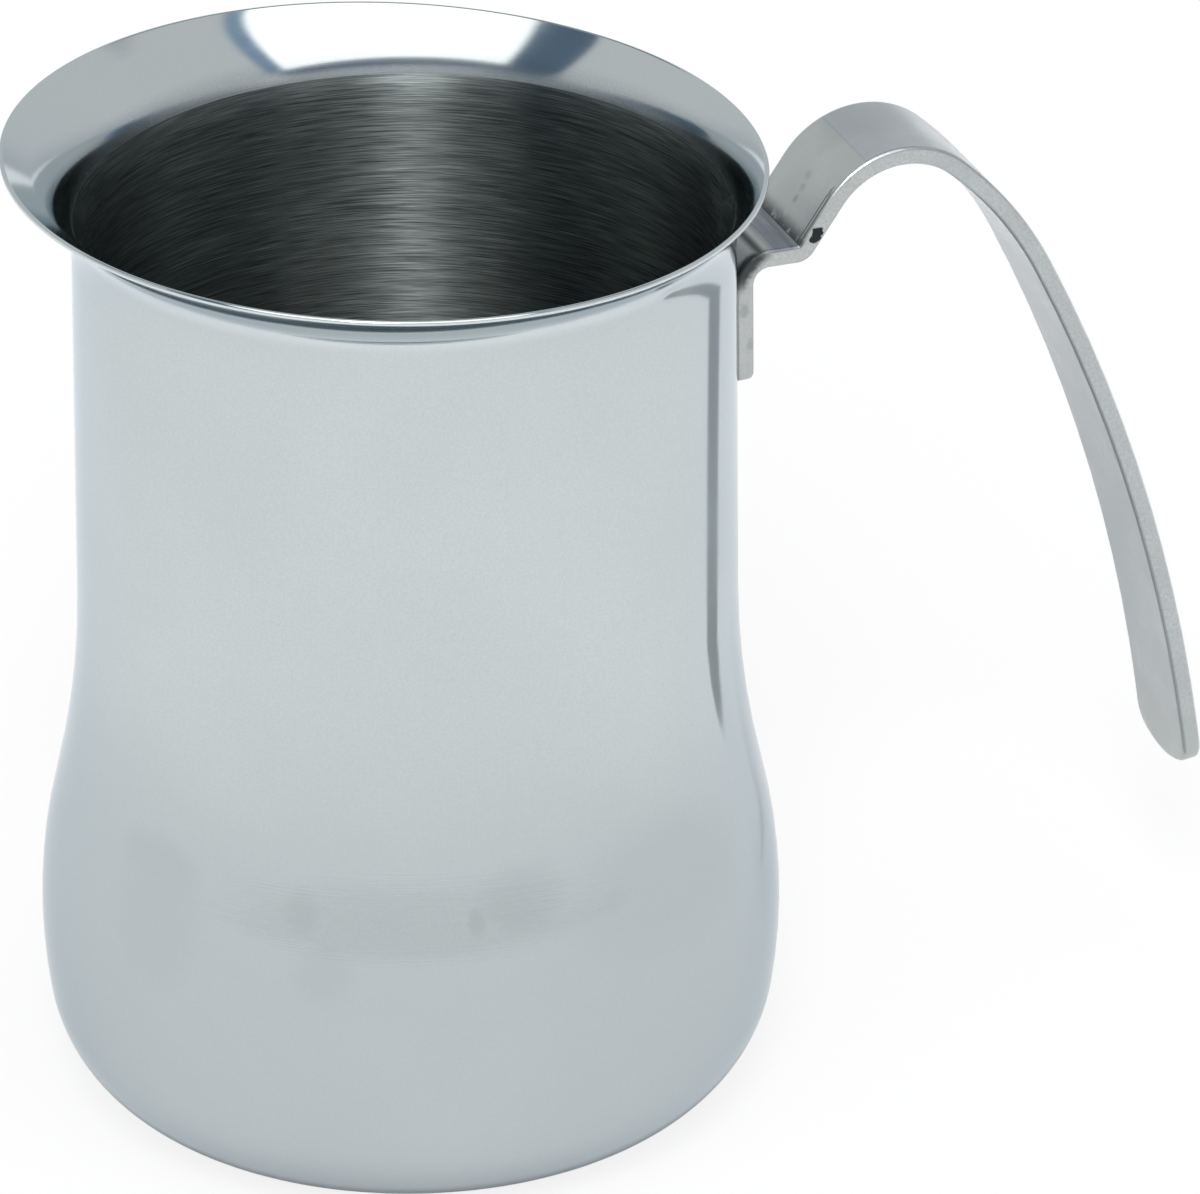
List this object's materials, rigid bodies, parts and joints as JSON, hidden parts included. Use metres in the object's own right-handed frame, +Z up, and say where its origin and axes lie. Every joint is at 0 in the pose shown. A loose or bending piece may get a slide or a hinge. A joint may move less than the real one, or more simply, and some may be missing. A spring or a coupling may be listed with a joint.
{
  "type": "milk frothing pitcher",
  "caption": "Steel pitcher for steaming and pouring milk: pear-shaped body, straight neck, flared tilted rim and a bent flat-bar hook handle.",
  "frame": {"origin": "centre of the flat base, on the surface that the pitcher stands on", "axes": "+Z up along the body's axis, +X from the axis to the handle, the pouring side of the rim towards -X"},
  "size_m": [0.1305, 0.0798, 0.109],
  "materials": {
    "vessel_steel": "polished outside and on the flare, brushed round inside",
    "handle_steel": "satin, tumbled edges",
    "weld_steel": "as welded, dull"
  },
  "bodies": {
    "root": {"vessel": "vessel_steel", "handle": "handle_steel", "spot_welds": "weld_steel"}
  },
  "joints": []
}
